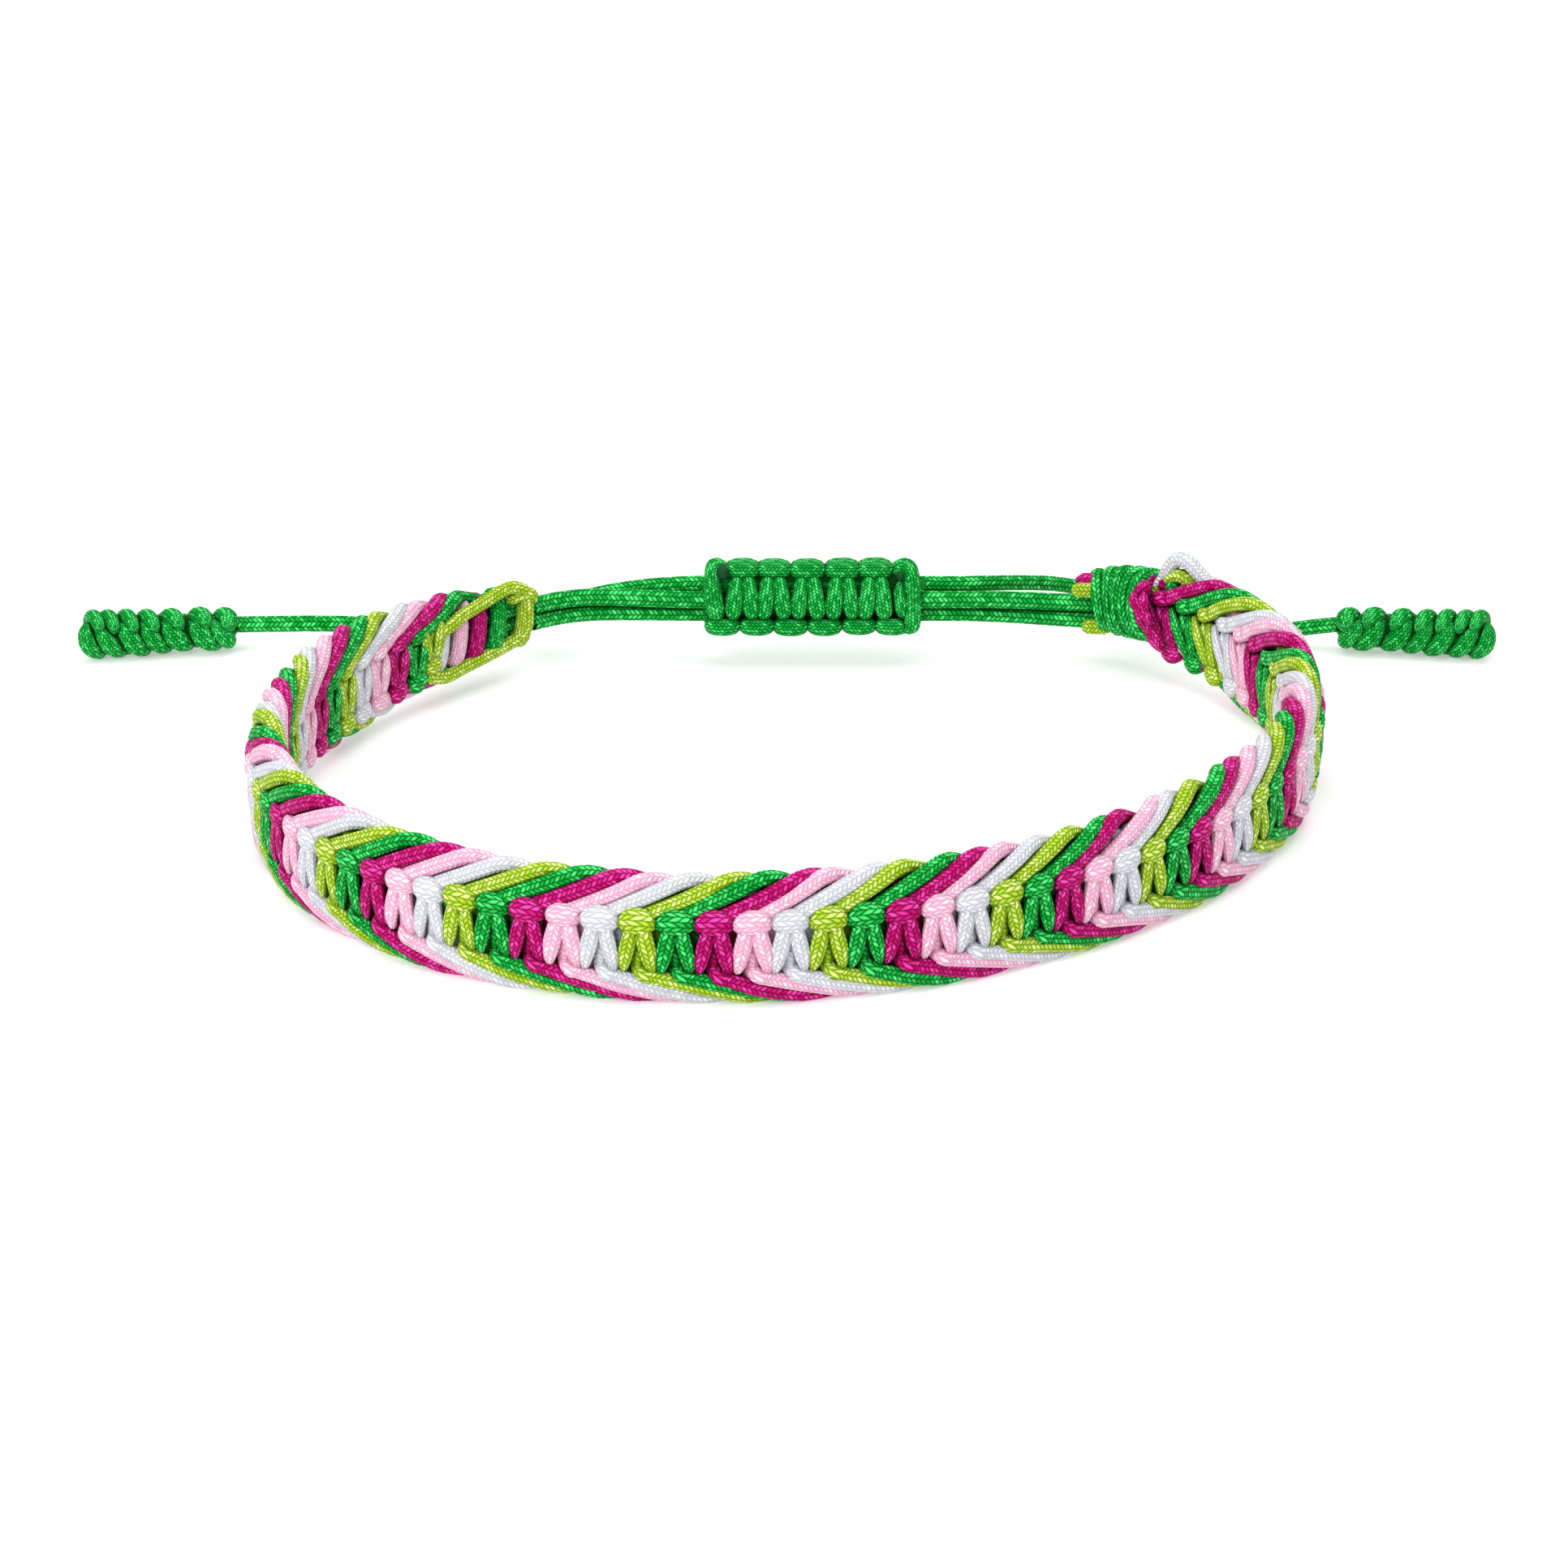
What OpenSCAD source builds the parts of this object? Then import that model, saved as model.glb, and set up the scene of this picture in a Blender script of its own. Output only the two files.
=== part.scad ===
// A knotted cord bracelet that stands on the lower edge of its band. Five coloured cords are knotted in
// turn over a flat core. Each lays a loop round the core, from a knot on the outer face over both edges
// to a knot five places further on the inner face, so the band shows rows of chevrons. The core leaves
// the band at both ends, and a sliding knot at the back joins the two ends.

/* [Loop] */
// Mean radius of the band's centre line, seen from above
loop_r = 31.5; // [30:0.5:35]
// How far the centre line swells one way and narrows the other
oval = 2.3; // [1:0.1:3]
// Direction in which the loop is longest, in degrees from the right
oval_turn = 46; // [40:1:52]
// Distance from the loop's middle to the straight closure at its back
back_y = 26.3; // [25.5:0.1:27]

/* [Band] */
// Height of the knotted band
band_h = 8; // [7:0.1:9]
// Thickness of the band over its knots
band_t = 3; // [2.8:0.1:3.4]
// Distance from one knot to the next
knot_pitch = 2.16; // [2.1:0.01:2.2]
// The same distance at the eye, where the first knots are pulled tight
eye_pitch = 1.7; // [1.5:0.05:2.1]
// Number of knots along the inner face
knots = 68; // [66:1:69]
// Thickness of a coloured cord where it lies flat over the band
cord_t = 0.86; // [0.7:0.02:0.94]
// Room between neighbouring cords
gap = 0.11; // [0.1:0.01:0.16]
// Half height of a knot on either face
knot_half_h = 0.85; // [0.6:0.05:1.2]

/* [Band ends] */
// Length over which the band widens from the eye's tip
eye_taper_l = 19; // [14:0.5:24]
// Length over which it narrows to the wrapped end
end_taper_l = 12; // [8:0.5:16]
// Length of the wrapping at the end
wrap_l = 4.6; // [3.5:0.1:6]
// Diameter of the wrapping
wrap_d = 4.5; // [4.2:0.1:5]
// Number of turns in the wrapping
wrap_turns = 5; // [3:1:7]
// Length of the cut cord ends that show past the wrapping
stub_l = 0.9; // [0.6:0.1:1.4]

/* [Closure] */
// Diameter of the plain cords at the back and of the two tails
cord_d = 1; // [0.8:0.05:1.1]
// Height of the flat core inside the band
core_h = 1.7; // [1.4:0.1:2]
// Thickness of the core
core_t = 0.86; // [0.7:0.02:0.9]
// Length of the sliding knot
slider_l = 13.6; // [11:0.1:14]
// Height of the sliding knot
slider_h = 4.7; // [4.2:0.1:5.4]
// Depth of the sliding knot from front to back
slider_t = 3.2; // [2.8:0.1:3.8]
// Number of half knots along the sliding knot
slider_knots = 6; // [4:1:8]

/* [Tail ends] */
// Length of the knot on the end of each tail
end_knot_l = 9.8; // [8:0.1:11]
// Diameter of that knot
end_knot_d = 3.4; // [3:0.1:4]
// Number of turns in that knot
end_knot_turns = 6; // [4:1:8]

/* [Hidden] */

lime = [0.69, 0.80, 0.14];
green = [0.02, 0.60, 0.25];
magenta = [0.76, 0.05, 0.50];
pink = [0.97, 0.74, 0.82];
white = [0.91, 0.92, 0.94];

// A cord comes back to its own column after five knots, half of them on the outer face and half on the
// inner.
colours = 5;
reach = colours / 2;
last_knot = knots - 1;
mid_z = band_h / 2;
cord_sides = 6;

// Height of the band at its ends, as [share of the taper's length from the end, share of the full height].
eye_taper = [[0, 0.40], [0.16, 0.56], [0.35, 0.68], [0.55, 0.80], [0.78, 0.92], [1, 1]];
end_taper = [[0, 0.58], [0.25, 0.76], [0.60, 0.93], [1, 1]];

// Near the eye the lower edge is pulled up, as [distance from the eye's tip, share of the lower half's
// height].
low_edge = [[0, 0.93], [8, 0.86], [28, 0.84], [45, 1]];

// The centre line of the loop in plan: an oval whose back is pulled straight by the closure.
closure_turn = 87;
back_soft = 0.6;
arc_step = 2;

function soft_top(v, top) = v - back_soft * ln(1 + exp((v - top) / back_soft));
function plan(a) =
    let (r = loop_r + oval * cos(2 * (a - oval_turn)))
    [r * cos(a), soft_top(r * sin(a), back_y)];

// Length along the centre line from the middle of the closure, paired with the direction that it lies in.
arc = [
    for (i = 0, s = 0; i <= 360 / arc_step;
         s = s + norm(plan(closure_turn + (i + 1) * arc_step) - plan(closure_turn + i * arc_step)),
         i = i + 1)
    [s, closure_turn + i * arc_step]
];
loop_l = arc[len(arc) - 1][0];

function across(s) =
    let (a = lookup(s, arc), run = plan(a + 0.5) - plan(a - 0.5), t = run / norm(run))
    [t[1], -t[0]];

// A point at length s along the loop, n outwards from its centre line and z above the surface.
function at(s, n, z) =
    let (p = plan(lookup(s, arc)) - middle + n * across(s))
    [p[0], p[1], z];

// Knots are counted from the first one past the eye, and the band's two ends lie as far from the sliding
// knot.
eye_l = colours * eye_pitch;
wrap_room = 0.62;
wrap_gap = wrap_room * knot_pitch;
band_l = eye_l + last_knot * knot_pitch + wrap_gap + wrap_l;
tip_s = (loop_l - band_l) / 2;
function knot_s(i) = tip_s + eye_l + i * (i < 0 ? eye_pitch : knot_pitch);
wrap_s = knot_s(last_knot) + wrap_gap;
wrap_end_s = wrap_s + wrap_l;

// The whole bracelet without its tails is centred over the middle of its own box. The wrapping stands out
// most at the rear, halfway over its last turn.
outline = [for (a = [0:arc_step:360]) plan(a)];
left_x = min([for (p = outline) p[0]]) - band_t / 2;
right_x = max([for (p = outline) p[0]]) + band_t / 2;
front_y = min([for (p = outline) p[1]]) - band_t / 2;
last_turn_s = wrap_end_s - wrap_l / wrap_turns / 2;
rear_y = plan(lookup(last_turn_s, arc))[1] + wrap_d / 2 * across(last_turn_s)[1];
middle = [(left_x + right_x) / 2, (front_y + rear_y) / 2];

function taper(s) = min(
    lookup((s - tip_s) / eye_taper_l, eye_taper),
    lookup((wrap_s - s) / end_taper_l, end_taper)
);

// Height over the band's middle at s, for a share of the way up to its upper edge or down to its lower one.
function rise(s, share) = ring_z * taper(s) * share * (share < 0 ? lookup(s - tip_s, low_edge) : 1);

// A coloured loop goes round the band's section, an ellipse whose angle u is 0 at the outer face's
// middle, 90 at the edge and 180 at the inner face's middle. It runs straight across each knot and slants
// from there on.
core_room = 1.5 * gap;
knot_t = (band_t - core_t) / 2 - core_room;
ring_n = band_t / 2 - knot_t / 2;
ring_z = band_h / 2 - cord_t / 2;
knot_share = knot_half_h / ring_z;
knot_u = asin(knot_share);
half_width = (1 - 2 * gap / knot_pitch) / 2;
ring_stations = [knot_u, 40, 65, 90, 115, 140, 180 - knot_u];

function slant(u) = reach * max(0, abs(sin(u)) - knot_share) / (1 - knot_share);
function lead(u) = abs(u) <= 90 ? slant(u) : 2 * reach - slant(u);
function lead_u(l) =
    let (share = knot_share + (1 - knot_share) * min(l, 2 * reach - l) / reach)
    l <= reach ? asin(share) : 180 - asin(share);
function thickness(u) = abs(sin(u)) <= knot_share + 0.01 ? knot_t : cord_t;

// One six-sided section of the loop that starts at knot k.
function section(k, u) =
    let (
        i = k + lead(u),
        high = abs(rise(knot_s(i), sin(u) < 0 ? -1 : 1)),
        out = [high * cos(u), ring_n * sin(u)] / norm([high * cos(u), ring_n * sin(u)]),
        half_t = thickness(u) / 2 / sin(60)
    )
    [
        for (j = [0:cord_sides - 1])
        let (
            s = knot_s(i + half_width * cos(60 * j)),
            lift = -half_t * sin(60 * j)
        )
        at(s, ring_n * cos(u) + lift * out[0], mid_z + rise(s, sin(u)) + lift * out[1])
    ];

function closed_loop(k) = [
    [
        for (u = ring_stations) section(k, u),
        for (i = [len(ring_stations) - 1:-1:0]) section(k, -ring_stations[i])
    ],
    true
];

// The last five loops have no knot to go to, and both their ends run on as far as the wrapping.
open_past = 0.06;
least_turn = 3;
function open_loop(k) =
    let (
        stop = max(knot_u + 1, lead_u(last_knot + open_past - k)),
        used = [for (u = ring_stations) if (u < stop - least_turn) u],
        half = concat(used, [stop])
    )
    [[for (i = [len(half) - 1:-1:0]) section(k, -half[i]), for (u = half) section(k, u)], false];

function strand(colour) = concat(
    [for (k = [colour:colours:last_knot - colours]) closed_loop(k)],
    [for (k = [last_knot - colours + 1:last_knot]) if ((k - colour) % colours == 0) open_loop(k)]
);

// A round cord through points p, with the directions up[] as its sections' second axis.
function tube(p, up, d, sides, closed) = [
    [
        for (i = [0:len(p) - 1])
        let (
            before = p[closed ? (i + len(p) - 1) % len(p) : max(i - 1, 0)],
            after = p[closed ? (i + 1) % len(p) : min(i + 1, len(p) - 1)],
            t = (after - before) / norm(after - before),
            side = cross(up[i], t) / norm(cross(up[i], t)),
            top = cross(t, side)
        )
        [for (j = [0:sides - 1]) p[i] + d / 2 * (cos(360 * j / sides) * side + sin(360 * j / sides) * top)]
    ],
    closed
];

// Skins each list of sections into a closed solid. All of them become one body of loose solids.
module skin(tubes) {
    starts = [
        for (i = 0, n = 0; i < len(tubes); n = n + len(tubes[i][0]) * len(tubes[i][0][0]), i = i + 1) n
    ];
    polyhedron(
        points = [for (t = tubes) for (ring = t[0]) each ring],
        faces = [
            for (k = [0:len(tubes) - 1])
            let (rings = tubes[k][0], m = len(rings), n = len(rings[0]), b = starts[k])
            each concat(
                [
                    for (i = [0:m - (tubes[k][1] ? 1 : 2)]) for (j = [0:n - 1])
                    let (
                        p = b + i * n + j,
                        q = b + i * n + (j + 1) % n,
                        r = b + ((i + 1) % m) * n + (j + 1) % n,
                        t = b + ((i + 1) % m) * n + j
                    )
                    each [[p, t, r], [p, r, q]]
                ],
                tubes[k][1] ? [] : [
                    [for (j = [0:n - 1]) b + j],
                    [for (j = [n - 1:-1:0]) b + (m - 1) * n + j]
                ]
            )
        ]
    );
}

// Cut ends that show past the wrapping, each at a turn round it. They lie just inside its rim.
stub_s = wrap_end_s + gap;
stub_rim = 0.1;
stub_off = wrap_d / 2 - cord_t / 2 - stub_rim;
lime_stub_turns = [115, -110];
magenta_stub_turns = [70];
function stub(turn) =
    let (n = stub_off * cos(turn), z = mid_z + stub_off * sin(turn))
    tube([at(stub_s, n, z), at(stub_s + stub_l, n, z)], [[0, 0, 1], [0, 0, 1]], cord_t, cord_sides, false);

module lime_strand() {
    color(lime) skin(concat(strand(0), [for (turn = lime_stub_turns) stub(turn)]));
}

module green_strand() {
    color(green) skin(strand(1 - colours));
}

module magenta_strand() {
    color(magenta) skin(concat(strand(2 - colours), [for (turn = magenta_stub_turns) stub(turn)]));
}

module pink_strand() {
    color(pink) skin(strand(3 - colours));
}

module white_strand() {
    color(white) skin(strand(4 - colours));
}

// The first lime loop forms the eye: from the first knot's column it runs along both edges to the tip.
// Each row is [knots from the first one, share of the band's half height, share of its half thickness].
eye_path = [
    [0, 0.22, 0.98], [-0.6, 0.42, 1.00], [-1.5, 0.68, 0.87], [-2.5, 0.88, 0.72], [-3.4, 0.90, 0.72],
    [-4.2, 0.78, 0.84], [-4.8, 0.45, 0.98]
];

module eye_loop() {
    back = [for (i = [len(eye_path) - 1:-1:0]) eye_path[i]];
    rows = concat(
        [for (row = eye_path) let (s = knot_s(row[0])) [s, -ring_n * row[2], rise(s, row[1])]],
        [for (row = back) let (s = knot_s(row[0])) [s, -ring_n * row[2], rise(s, -row[1])]]
    );
    color(lime) skin([tube(
        [for (r = rows) at(r[0], r[1], mid_z + r[2])],
        [for (r = rows) let (o = across(r[0])) [o[0], o[1], 0]],
        cord_t, cord_sides, true
    )]);
}

// The flat core of green cords runs through every knot, from the eye's tip to the wrapping.
core_step = 3;
core_side = 0.22;
core_top = 0.2;
module core() {
    core_end = wrap_s - gap;
    count = ceil((core_end - tip_s) / core_step);
    profile = [
        [core_t / 2, core_side * core_h], [core_top * core_t, core_h / 2],
        [-core_top * core_t, core_h / 2], [-core_t / 2, core_side * core_h],
        [-core_t / 2, -core_side * core_h], [-core_top * core_t, -core_h / 2],
        [core_top * core_t, -core_h / 2], [core_t / 2, -core_side * core_h]
    ];
    color(green) skin([[
        [for (i = [0:count]) let (s = tip_s + (core_end - tip_s) * i / count)
            [for (p = profile) at(s, -p[0], mid_z + p[1])]],
        false
    ]]);
}

// Tight turns of green cord bind the loose ends of all the cords.
wrap_sides = 12;
groove = 0.22;
module end_wrap() {
    rows = [
        for (i = [0:2 * wrap_turns])
        [wrap_s + wrap_l * i / (2 * wrap_turns), wrap_d / 2 - (i % 2 == 0 ? groove : 0)]
    ];
    color(green) skin([[
        [for (r = rows) [for (j = [0:wrap_sides - 1])
            let (a = 360 * j / wrap_sides)
            at(r[0], r[1] * cos(a), mid_z - r[1] * sin(a))]],
        false
    ]]);
}

// The plain cords between the band and the sliding knot. At the band they lie side by side like the core,
// and at the sliding knot they lie below the tail, each [outwards, up] from the middle of the closure.
cord_places = [[-0.45, 0.1], [0.45, -0.95]];
core_places = [[0, 0.56], [0, -0.56]];
closure_steps = 6;

// s0 is the end at the band and s1 the end at the sliding knot.
function closure_cord(s0, s1, i) =
    let (
        p = [
            for (j = [0:closure_steps])
            let (
                f = j / closure_steps,
                w = (1 - cos(180 * f)) / 2,
                place = core_places[i] * (1 - w) + cord_places[i] * w
            )
            at(s0 + (s1 - s0) * f, place[0], mid_z + place[1])
        ]
    )
    tube(p, [for (q = p) [0, 0, 1]], cord_d, cord_sides + 2, false);

module closure_cords() {
    half = slider_l / 2 + gap;
    color(green) skin([
        closure_cord(tip_s - gap, half, 0),
        closure_cord(tip_s - gap, half, 1),
        closure_cord(wrap_end_s + gap, loop_l - half, 0),
        closure_cord(wrap_end_s + gap, loop_l - half, 1)
    ]);
}

// The sliding knot: half knots in a row over the cords. Their upper turns and lower turns lie half a step
// apart.
slider_sides = 12;
slider_steps = 4;
slider_notch = 0.45;
slider_square = 0.8;
slider_end = 0.82;
function slider_ring(x, top, bottom, thick) = [
    for (j = [0:slider_sides - 1])
    let (
        a = 360 * j / slider_sides,
        c = sign(cos(a)) * pow(abs(cos(a)), slider_square),
        d = sign(sin(a)) * pow(abs(sin(a)), slider_square)
    )
    [x, thick * c, d > 0 ? top * d : bottom * d]
];

module slider_knot() {
    count = slider_steps * slider_knots;
    high = slider_h / 2;
    color(green) translate([plan(closure_turn)[0] - middle[0], back_y - middle[1], mid_z]) skin([[
        [
            for (i = [0:count])
            let (
                turn = 360 * i / slider_steps,
                end = i == 0 || i == count ? slider_end : 1
            )
            slider_ring(
                slider_l * (i / count - 0.5),
                end * (high - slider_notch * (1 - cos(turn + 180)) / 2),
                end * (high - slider_notch * (1 - cos(turn)) / 2),
                end * (slider_t / 2 - slider_notch / 2 * (1 - cos(2 * turn)) / 2)
            )
        ],
        false
    ]]);
}

// The tails: points on each cord's middle, from the sliding knot down to the surface and into its end knot.
tail_left_points = [
    [-5.25, 29.3, 5.05], [-7.5, 29.35, 4.95], [-9.7, 29.5, 4.7], [-11.9, 29.75, 4.25], [-14, 30.1, 3.6],
    [-16.1, 30.6, 2.8], [-18.2, 31.15, 2], [-20.3, 31.75, 1.2], [-22.4, 32.2, 0.7], [-24.4, 32.5, 0.5],
    [-26.3, 32.55, 0.65], [-28.2, 32.3, 1.15], [-30.4, 31.8, 1.4], [-33.1, 31.2, 1.6], [-35.85, 30.8, 1.7]
];
tail_right_points = [
    [8.6, 29.3, 5.05], [10.8, 29.4, 5], [12.9, 29.95, 4.85], [14.9, 31, 4.5], [16.8, 32.3, 4],
    [18.6, 33.6, 3.3], [20.5, 34.7, 2.4], [22.5, 35.4, 1.5], [24.6, 35.6, 0.8], [26.7, 35.2, 0.5],
    [28.7, 34.2, 0.5], [30.6, 32.9, 0.65], [32.3, 31.7, 1], [33.9, 31, 1.45], [35.5, 30.8, 1.7]
];

module tail(points) {
    color(green) skin([tube(points, [for (p = points) [0, 0, 1]], cord_d, cord_sides + 2, false)]);
}

module tail_left() {
    tail(tail_left_points);
}

module tail_right() {
    tail(tail_right_points);
}

// A thick knot of slanting turns on the end of each tail. It lies on the surface.
knot_sides = 12;
knot_rings = 26;
knot_groove = 0.28;
knot_tip = 0.62;
knot_neck = 0.9;
rest_below = -0.9;
module end_knot(point, way) {
    radius = end_knot_d / 2;
    color(green) translate([point[0] + way * gap, point[1], radius]) skin([[
        [
            for (i = [0:knot_rings])
            let (
                f = i / knot_rings,
                round = i == 0 || i == knot_rings ? knot_tip
                    : (i == 1 || i == knot_rings - 1 ? knot_neck : 1)
            )
            [
                for (j = [0:knot_sides - 1])
                let (
                    a = 360 * j / knot_sides,
                    wave = (1 + cos(360 * end_knot_turns * f + 2 * a)) / 2,
                    r = round * (radius - (sin(a) > rest_below ? knot_groove * wave : 0))
                )
                [way * end_knot_l * f, r * cos(a) * way, r * sin(a)]
            ]
        ],
        false
    ]]);
}

module end_knot_left() {
    end_knot(tail_left_points[len(tail_left_points) - 1], -1);
}

module end_knot_right() {
    end_knot(tail_right_points[len(tail_right_points) - 1], 1);
}

lime_strand();
green_strand();
magenta_strand();
pink_strand();
white_strand();
eye_loop();
core();
end_wrap();
closure_cords();
slider_knot();
tail_left();
tail_right();
end_knot_left();
end_knot_right();
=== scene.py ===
import math
import random

import bpy
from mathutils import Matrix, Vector


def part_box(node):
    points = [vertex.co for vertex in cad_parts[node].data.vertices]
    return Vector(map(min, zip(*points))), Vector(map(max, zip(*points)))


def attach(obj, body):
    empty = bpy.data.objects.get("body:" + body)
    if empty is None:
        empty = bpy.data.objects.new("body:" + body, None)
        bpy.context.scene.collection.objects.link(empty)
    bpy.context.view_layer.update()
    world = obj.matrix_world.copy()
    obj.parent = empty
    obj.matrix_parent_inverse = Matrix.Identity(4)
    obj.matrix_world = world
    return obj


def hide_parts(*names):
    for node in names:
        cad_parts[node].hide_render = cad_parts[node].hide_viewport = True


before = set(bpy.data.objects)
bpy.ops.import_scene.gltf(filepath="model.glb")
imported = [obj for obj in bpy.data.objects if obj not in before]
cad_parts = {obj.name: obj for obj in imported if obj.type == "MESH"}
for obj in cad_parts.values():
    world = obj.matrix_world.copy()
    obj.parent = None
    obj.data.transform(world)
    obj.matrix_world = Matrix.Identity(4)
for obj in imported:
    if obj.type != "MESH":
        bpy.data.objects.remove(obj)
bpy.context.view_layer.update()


# Camera: it looks down on the bracelet's front as the photograph does. The picture is square, and the loop's
# own middle lies a little right of and below the picture's.
mm = 0.001
picture_px = 1932
loop_middle_px = (973, 991.4)
px_a_mm = 19.95
camera_up = math.radians(21)
camera_away = 500 * mm
film = 36
loop_middle = Vector((0, 2.58 * mm, 0))

camera = bpy.data.objects.new("camera", bpy.data.cameras.new("camera"))
bpy.context.scene.collection.objects.link(camera)
towards_camera = Vector((0, -math.cos(camera_up), math.sin(camera_up)))
camera.location = loop_middle + camera_away * towards_camera
camera.rotation_euler = (math.pi / 2 - camera_up, 0, 0)
camera.data.lens = px_a_mm * camera_away / mm * film / picture_px
camera.data.sensor_width = film
camera.data.shift_x = (picture_px / 2 - loop_middle_px[0]) / picture_px
camera.data.shift_y = (loop_middle_px[1] - picture_px / 2) / picture_px
camera.data.clip_start = 0.01
camera.data.clip_end = 20
bpy.context.scene.camera = camera


# Tails: the two free ends of the green cord that is the core of the bracelet. It is a plaited nylon cord
# about 1 mm thick. Each tail leaves the sliding knot level, comes down behind the band and lies on the table.
class Strand:
    """A value in a node tree. Sums on it add Math nodes, and node() adds any other node."""

    def __init__(self, tree, socket=None):
        self.tree = tree
        self.socket = socket

    def node(self, kind, inputs=None, output=0, **settings):
        made = self.tree.nodes.new(kind)
        for name, value in settings.items():
            setattr(made, name, value)
        for place, value in (inputs or {}).items():
            for one in value if isinstance(value, list) else [value]:
                if isinstance(one, Strand):
                    self.tree.links.new(one.socket, made.inputs[place])
                else:
                    made.inputs[place].default_value = one
        return Strand(self.tree, made.outputs[output] if made.outputs else None)

    def other(self, output):
        return Strand(self.tree, self.socket.node.outputs[output])

    def sum(self, operation, *values):
        return self.node("ShaderNodeMath", dict(enumerate(values)), operation=operation)

    def vector(self, operation, *values):
        return self.node("ShaderNodeVectorMath", dict(enumerate(values)), operation=operation)

    def scaled(self, factor):
        return self.node("ShaderNodeVectorMath", {0: self, "Scale": factor}, operation="SCALE")

    def blend(self, share, low, high):
        """Mixes two colours: low where the share is 0, and high where it is 1."""
        return self.node("ShaderNodeMix", {0: share, 6: low, 7: high}, output=2, data_type="RGBA")

    def stored(self, name, value, kind="FLOAT", domain="POINT"):
        """Keeps a value on a geometry as a named attribute."""
        return self.node(
            "GeometryNodeStoreNamedAttribute", {0: self, "Name": name, "Value": value},
            data_type=kind, domain=domain,
        )

    def kept(self, name):
        return self.node("GeometryNodeInputNamedAttribute", {"Name": name}, data_type="FLOAT")

    def __add__(self, other):
        return self.sum("ADD", self, other)

    def __radd__(self, other):
        return self.sum("ADD", other, self)

    def __sub__(self, other):
        return self.sum("SUBTRACT", self, other)

    def __rsub__(self, other):
        return self.sum("SUBTRACT", other, self)

    def __mul__(self, other):
        return self.sum("MULTIPLY", self, other)

    def __rmul__(self, other):
        return self.sum("MULTIPLY", other, self)

    def __truediv__(self, other):
        return self.sum("DIVIDE", self, other)

    def __pow__(self, other):
        return self.sum("POWER", self, other)

    def __abs__(self):
        return self.sum("ABSOLUTE", self)

    def floor(self):
        return self.sum("FLOOR", self)

    def rest(self):
        return self.sum("FRACT", self)

    def least(self, other):
        return self.sum("MINIMUM", self, other)

    def most(self, other):
        return self.sum("MAXIMUM", self, other)


plait_columns = 10
stitch = 0.3 * mm
stitch_slant = 0.7
# A yarn's crown is flat from this share of its height upwards, and it's then raised to full height.
crown_flat = 0.75
crown_gain = 1.33
# Painted shade: the colour goes from the shadow colour in the furrows between yarns to the yarn's own colour
# on its crown, by this power of the crown.
shade_power = 0.75
furrow_depth = 0.08 * mm
# Painted highlights: single stitches gleam by chance, and whole patches of the cord gleam more than others.
# The gleam blends the colour toward a painted highlight colour and also lowers the roughness.
stitch_gleam = 1.7
patch_gleam = 0.9
gleam_start = 0.5
patch_scale = 260.0
yarn_roughness = 0.5
gleam_smoothness = 0.2
yarn_specular = 0.06
# Painted shade: a cord's colour goes toward its shadow colour where it lies deep in the slits between the
# cords, from this start of the depth on, by this gain for each part more.
painted_shade_start = 0.2
painted_shade_gain = 2.2


def plaited_nylon(name, shadow, colour, light):
    """Nylon cord plaited from silky yarns. Its colour has painted shade in the furrows between the yarns and
    in the slits between the cords, and painted highlights on gleaming stitches. The UV map runs along the
    cord in metres and once round it, and a stored attribute says how deep a point lies in the slits between
    the cords."""
    material = bpy.data.materials.new(name)
    material.use_nodes = True
    tree = material.node_tree
    tree.nodes.clear()
    start = Strand(tree)
    along = start.node("ShaderNodeSeparateXYZ", {0: start.node("ShaderNodeUVMap", uv_map="UVMap")})
    column = along.other("Y") * plait_columns
    across = column.rest() - 0.5
    odd = column.floor().sum("MODULO", column.floor(), 2.0)
    step = along / stitch + across * (odd * 2.0 - 1.0) * stitch_slant + odd * 0.5
    yarn = 1.0 - abs(step.rest() - 0.5) * 2.0
    crown = (1.0 - (abs(across) * 2.0) ** 2.0) * yarn.least(crown_flat) * crown_gain
    cell = start.node("ShaderNodeCombineXYZ", {0: step.floor(), 1: column.floor()})
    chance = start.node("ShaderNodeTexWhiteNoise", {0: cell}, noise_dimensions="3D")
    where = start.node("ShaderNodeTexCoord", output="Object")
    patchy = start.node("ShaderNodeTexNoise", {"Vector": where, "Scale": patch_scale, "Detail": 2.0})
    gleam = crown * (chance * chance * stitch_gleam + patchy * patch_gleam - gleam_start)
    # Painted shade and painted highlights: the yarn's colour goes to its shadow colour down the furrows and
    # to its highlight colour where stitches gleam.
    painted_light_and_shade = start.blend(gleam, start.blend(crown ** shade_power, shadow, colour), light)
    # Painted shade: deep in the slits between the cords the colour goes to its shadow colour.
    painted_shade_share = start.node("ShaderNodeAttribute", output="Fac", attribute_name="shelter")
    with_painted_slit_shade = start.blend((painted_shade_share - painted_shade_start) * painted_shade_gain, painted_light_and_shade, shadow)
    bump = start.node("ShaderNodeBump", {"Strength": 1.0, "Distance": furrow_depth, "Height": crown})
    finish = start.node("ShaderNodeBsdfPrincipled", {
        "Base Color": with_painted_slit_shade, "Roughness": yarn_roughness - gleam * gleam_smoothness, "Normal": bump,
        "Specular IOR Level": yarn_specular,
    })
    start.node("ShaderNodeOutputMaterial", {0: finish})
    return material


def sockets(tree, **kinds):
    """Gives a tree its named inputs and its output, and returns the inputs by name."""
    for name, kind in kinds.items():
        tree.interface.new_socket(name, in_out="INPUT", socket_type=kind)
    tree.interface.new_socket("Geometry", in_out="OUTPUT", socket_type="NodeSocketGeometry")
    given = tree.nodes.new("NodeGroupInput")
    return {name: Strand(tree, given.outputs[name]) for name in kinds}


# Rays that measure how deep a point lies among the cords, for the painted shade.
shelter_rays = 14
shelter_l = 1.3 * mm
shelter_lift = 0.02 * mm
shelter_spread = 0.95


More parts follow.
